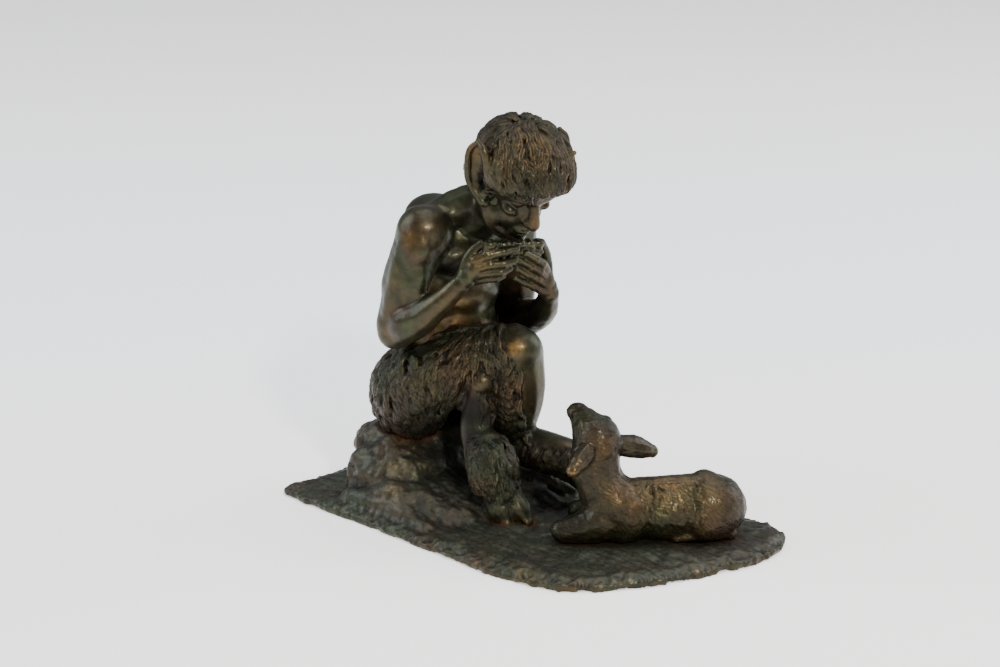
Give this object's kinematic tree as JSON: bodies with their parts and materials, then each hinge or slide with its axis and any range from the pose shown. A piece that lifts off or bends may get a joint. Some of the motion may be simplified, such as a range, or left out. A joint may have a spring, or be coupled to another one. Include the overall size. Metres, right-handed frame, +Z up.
{
  "type": "pan sculpture",
  "caption": "Tabletop bronze of a young faun sitting cross-legged on a rock and playing reed pipes to a kid goat that lies on the ground in front of it.",
  "frame": {"origin": "under the middle of the base, at the lowest face", "axes": "+X along the base, the way the faun faces, +Y to the faun's left, +Z up"},
  "size_m": [0.2319, 0.1368, 0.2059],
  "materials": {
    "dark_bronze": "cast bronze, dark brown patina with green bloom and golden rubbed high points",
    "kid_bronze": "cast bronze, brown patina rubbed golden on the flank"
  },
  "bodies": {
    "root": {"faun_on_rock": "dark_bronze", "kid_goat": "kid_bronze"}
  },
  "joints": []
}
